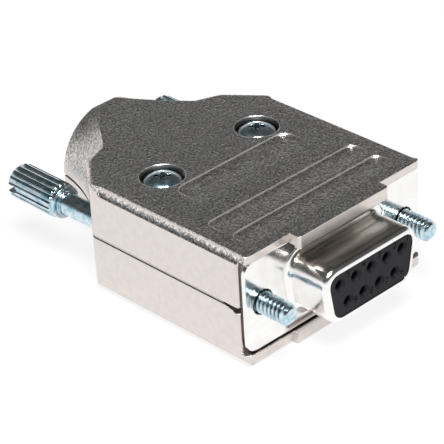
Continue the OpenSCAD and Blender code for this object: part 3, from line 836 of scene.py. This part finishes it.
    def digit(self, number: int, x: float, z: float, y: float) -> bmesh.types.BMesh:
        """The cutter of one engraved contact number.

        Args:
            number: the contact's number.
            x: its middle across.
            z: its middle up.
            y: the face that it is cut into.

        Returns:
            The cutter, in metres.
        """
        curve = bpy.data.curves.new(f"digit_{number}", "FONT")
        curve.body, curve.size, curve.extrude = str(number), self.digit_mm * 1.4, 0.12
        curve.align_x, curve.align_y, curve.resolution_u = "CENTER", "CENTER", 3
        text = bpy.data.objects.new(curve.name, curve)
        bpy.context.scene.collection.objects.link(text)
        bpy.context.view_layer.update()
        mesh = bpy.data.meshes.new_from_object(text.evaluated_get(bpy.context.evaluated_depsgraph_get()))
        bm = bmesh.new()
        bm.from_mesh(mesh)
        bpy.data.objects.remove(text)
        bpy.data.curves.remove(curve)
        bpy.data.meshes.remove(mesh)
        bmesh.ops.remove_doubles(bm, verts=bm.verts[:], dist=1e-4)
        place = Matrix.Translation((x * MM, y * MM, z * MM)) @ Matrix.Rotation(math.pi / 2, 4, "X")
        bm.transform(place @ Matrix.Scale(MM, 4))
        bmesh.ops.recalc_face_normals(bm, faces=bm.faces[:])
        return bm

    def insulator(self) -> bpy.types.Object:
        """Cuts the contact numbers 1 to 9 into a copy of the insulator and returns the piece."""
        bm = bmesh.new()
        bm.from_mesh(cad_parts["front_insulator"].data)
        bmesh.ops.remove_doubles(bm, verts=bm.verts[:], dist=0.004 * MM)
        bmesh.ops.dissolve_limit(bm, angle_limit=math.radians(0.4), verts=bm.verts[:], edges=bm.edges[:],
                                 use_dissolve_boundaries=False, delimit=set())
        piece = self.shop.to_object(bm, "front_insulator_numbered", 30.0)
        face_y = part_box("front_insulator")[0].y / MM
        cutter = bmesh.new()
        for number in range(1, 10):
            low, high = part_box(f"contact_{number}")
            x, z = (low.x + high.x) / 2 / MM, (low.z + high.z) / 2 / MM
            right, rise = (0.95, 1.1) if number == 1 else (1.4, 1.0) if number <= 5 else (1.25, -0.45)
            self.shop.join(cutter, self.digit(number, x + right, z + rise, face_y))
        self.shop.carve(piece, cutter)
        piece.data.set_sharp_from_angle(angle=math.radians(30))
        for face in piece.data.polygons:
            face.use_smooth = abs(face.normal.y) < 0.999
        return self.shop.dress(piece, self.finishes.black, Body.HOUSING, Slot.INSULATOR, "front_insulator")

    def build(self) -> list[bpy.types.Object]:
        """Builds the new pieces, dresses the carried ones and returns the new ones."""
        for number in range(1, 10):
            self.shop.repaint(f"contact_{number}", self.finishes.gold)
        self.shop.repaint("rear_shell", self.finishes.tin)
        self.shop.repaint("rear_insulator", self.finishes.black)
        return [self.front_shell(), self.insulator()]


# ---- the jackscrews -----------------------------------------------------------------------
@dataclass
class Jackscrew:
    """One captive jackscrew: thread, neck, shank with its ring groove, collar and fluted head."""

    shop: Workshop
    finishes: Finishes
    side: Side
    pitch: float = 0.635
    crest_r: float = 1.42
    root_r: float = 1.08
    tip_y: float = -4.66
    thread_end: float = 0.35
    neck_r: float = 1.05
    neck_end: float = 1.2
    shank_r: float = 1.48
    groove_y: float = 9.0
    head_y: float = 35.3
    end_y: float = 44.7
    head_r: float = 2.4
    flutes: int = 18
    slot_width: float = 1.0
    slot_depth: float = 1.6

    def thread(self) -> bmesh.types.BMesh:
        """Cuts the turns of the thread, closes both ends and thins them towards the tip."""
        p, c, r = self.pitch, self.crest_r, self.root_r
        profile = [(r, 0.0), (r, 0.10 * p), (c - 0.05, 0.40 * p), (c, 0.45 * p), (c, 0.55 * p), (c - 0.05, 0.60 * p),
                   (r, 0.90 * p), (r, p)]
        bm = self.shop.helix(profile, p, 10, 40, self.tip_y - p)
        self.shop.cut_to(bm, self.tip_y, True)
        self.shop.cut_to(bm, self.thread_end, False)
        for vert in bm.verts:
            out = math.hypot(vert.co.x, vert.co.y)
            most = (0.92 + max(0.0, vert.co.z / MM - self.tip_y) * 1.15) * MM
            if out > most > 0:
                vert.co.x *= most / out
                vert.co.y *= most / out
        bmesh.ops.recalc_face_normals(bm, faces=bm.faces[:])
        return bm

    def shank(self) -> bmesh.types.BMesh:
        """Turns the neck, the shank with its groove and the two collars under the head."""
        g, s = self.groove_y, self.shank_r
        return self.shop.turn([
            (0.0, self.thread_end - 0.3), (self.neck_r, self.thread_end - 0.3), (self.neck_r, self.neck_end),
            (s - 0.12, self.neck_end), (s, self.neck_end + 0.12), (s, g - 0.05), (s - 0.45, g - 0.05),
            (s - 0.45, g + 0.45), (s, g + 0.45), (s, self.head_y - 0.15), (s + 0.08, self.head_y),
            (self.head_r - 0.72, self.head_y), (self.head_r - 0.65, self.head_y + 0.07),
            (self.head_r - 0.65, self.head_y + 0.38), (self.head_r - 0.26, self.head_y + 0.38),
            (self.head_r - 0.18, self.head_y + 0.46), (self.head_r - 0.18, self.head_y + 0.9),
            (self.head_r - 0.3, self.head_y + 1.02), (0.0, self.head_y + 1.02)], 64)

    def head(self) -> bmesh.types.BMesh:
        """Turns the head and presses its flutes."""
        r, a, b = self.head_r, self.head_y + 0.95, self.end_y
        rings = [a + 0.35 + (b - a - 0.7) * k / 6 for k in range(7)]
        profile = [(0.0, a), (r - 0.36, a), (r - 0.24, a + 0.06), (r - 0.07, a + 0.24), *[(r, y) for y in rings],
                   (r - 0.07, b - 0.24), (r - 0.24, b - 0.06), (r - 0.36, b), (0.0, b)]
        bm = self.shop.turn(profile, self.flutes * 12)
        step = math.tau / self.flutes
        for vert in bm.verts:
            out = math.hypot(vert.co.x, vert.co.y)
            if out < 1.5 * MM:
                continue
            off = (math.atan2(vert.co.y, vert.co.x) + step / 2) % step - step / 2
            share = abs(off) * self.head_r / 0.27
            if share < 1:
                depth = 0.24 * MM * math.sqrt(1 - share * share)
                keep = min(out, (self.head_r * MM - depth)) / out
                vert.co.x *= keep
                vert.co.y *= keep
        return bm

    def build(self) -> bpy.types.Object:
        """Joins the lengths, cuts the slot and returns the piece."""
        node = f"jackscrew_{self.side.name.lower()}"
        body = Body.LEFT_SCREW if self.side is Side.LEFT else Body.RIGHT_SCREW
        turn = Matrix.Translation((self.side.value * SCREW_X * MM, 0, 0)) @ Matrix.Rotation(-math.pi / 2, 4, "X")
        bm = self.head()
        bm.transform(turn)
        piece = self.shop.to_object(bm, f"{node}_turned", 38.0)
        slot = bmesh.new()
        bmesh.ops.create_cube(slot, size=1.0)
        bmesh.ops.scale(slot, vec=(8 * MM, 2 * self.slot_depth * MM, self.slot_width * MM), verts=slot.verts[:])
        bmesh.ops.translate(slot, vec=(self.side.value * SCREW_X * MM, self.end_y * MM, 0), verts=slot.verts[:])
        self.shop.carve(piece, slot)
        whole = bmesh.new()
        whole.from_mesh(piece.data)
        for length in (self.thread(), self.shank()):
            length.transform(turn)
            self.shop.join(whole, length)
        whole.to_mesh(piece.data)
        whole.free()
        piece.data.shade_smooth()
        piece.data.set_sharp_from_angle(angle=math.radians(38))
        self.shop.repaint(f"ring_{self.side.name.lower()}", self.finishes.phosphate)
        return self.shop.dress(piece, self.finishes.zinc, body, Slot.SCREW, node)


# ---- the studio ---------------------------------------------------------------------------
@dataclass
class Studio:
    """Camera, floor, lamps and surroundings."""

    lens_mm: float = 177.2776
    eye: Colour = (-0.16318828, -0.15661236, 0.14148464)
    right: Colour = (0.71184, -0.70043, -0.05179)
    up: Colour = (0.39249, 0.33557, 0.85636)
    back: Colour = (-0.58244, -0.62992, 0.51378)
    sky_low: float = 1.0
    sky_high: float = 0.075
    floor_share: float = 0.86

    def camera(self) -> None:
        """Sets up the camera."""
        data = bpy.data.cameras.new("studio_camera")
        data.sensor_width, data.lens, data.clip_start, data.clip_end = 36.0, self.lens_mm, 0.001, 20.0
        data.dof.use_dof = False
        eye = bpy.data.objects.new("studio_camera", data)
        bpy.context.scene.collection.objects.link(eye)
        eye.matrix_world = Matrix([(*line, place) for *line, place in
                                   zip(self.right, self.up, self.back, self.eye)] + [(0, 0, 0, 1)])
        bpy.context.scene.camera = eye

    def floor(self) -> None:
        """Lays the pale floor under the part."""
        low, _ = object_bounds()
        bm = bmesh.new()
        bmesh.ops.create_grid(bm, x_segments=1, y_segments=1, size=1.5)
        bmesh.ops.translate(bm, vec=(0, 0, low.z - 0.00002), verts=bm.verts[:])
        mesh = bpy.data.meshes.new("floor")
        bm.to_mesh(mesh)
        bm.free()
        plane = bpy.data.objects.new("floor", mesh)
        bpy.context.scene.collection.objects.link(plane)
        material = bpy.data.materials.new("floor_paper")
        material.use_nodes = True
        material.node_tree.nodes.clear()
        g = Graph(material.node_tree)
        path = g.add("LightPath")
        seen = g.math("ADD", path.outputs["Is Camera Ray"], path.outputs["Is Glossy Ray"], clamp=True)
        seen = g.math("ADD", seen, path.outputs["Is Transmission Ray"], clamp=True)
        paper = g.add("BsdfDiffuse", {"Color": (0.86, 0.86, 0.86, 1.0)})
        glow = g.add("Emission", {"Color": (1, 1, 1, 1), "Strength": 1.0})
        mix = g.add("MixShader", {0: g.math("MULTIPLY", seen, self.floor_share), 1: paper.outputs[0],
                                  2: glow.outputs[0]})
        g.tree.links.new(mix.outputs[0], g.add("OutputMaterial").inputs["Surface"])
        mesh.materials.append(material)
        plane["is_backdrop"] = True

    def lamp(self, name: str, place: Colour, size: float, watts: float) -> None:
        """Hangs one square soft lamp that faces the part.

        Args:
            name: its name.
            place: where it hangs, in metres.
            size: its side, in metres.
            watts: its power.
        """
        data = bpy.data.lights.new(name, "AREA")
        data.energy, data.size, data.shape = watts, size, "SQUARE"
        lamp = bpy.data.objects.new(name, data)
        bpy.context.scene.collection.objects.link(lamp)
        aim = Vector((0.0, 0.015, 0.0)) - Vector(place)
        lamp.matrix_world = Matrix.Translation(place) @ aim.to_track_quat("-Z", "Y").to_matrix().to_4x4()

    def surroundings(self) -> None:
        """A bright horizon under a dim ceiling, with a plain white behind the part."""
        world = bpy.data.worlds.new("studio")
        bpy.context.scene.world = world
        world.use_nodes = True
        world.node_tree.nodes.clear()
        g = Graph(world.node_tree)
        rise = g.add("SeparateXYZ", {0: g.add("TexCoord").outputs["Generated"]}).outputs[2]
        level = g.span(rise, 0.06, 0.38, (self.sky_low, self.sky_high))
        strength = g.math("MAXIMUM", level, g.add("LightPath").outputs["Is Camera Ray"])
        sky = g.add("Background", {"Color": (1, 1, 1, 1), "Strength": strength})
        g.tree.links.new(sky.outputs[0], g.add("OutputWorld").inputs["Surface"])

    def build(self) -> None:
        """Sets up the whole studio."""
        self.camera()
        self.floor()
        self.surroundings()
        self.lamp("key", (-0.10, -0.12, 0.42), 0.22, 3.2)
        bpy.context.scene.view_settings.view_transform = "Standard"


def main() -> None:
    """Builds the connector piece by piece and then its studio."""
    logging.basicConfig(level=logging.INFO, format="%(name)s: %(message)s")
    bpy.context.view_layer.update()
    shop, finishes = Workshop(), Finishes()
    pieces = DieCastHood(shop, finishes).build() + Socket(shop, finishes).build()
    pieces += [Jackscrew(shop, finishes, side).build() for side in Side]
    for piece in pieces:
        LOG.info("%s: %d faces", piece.name, len(piece.data.polygons))
    Studio().build()


if __name__ == "__main__":
    main()
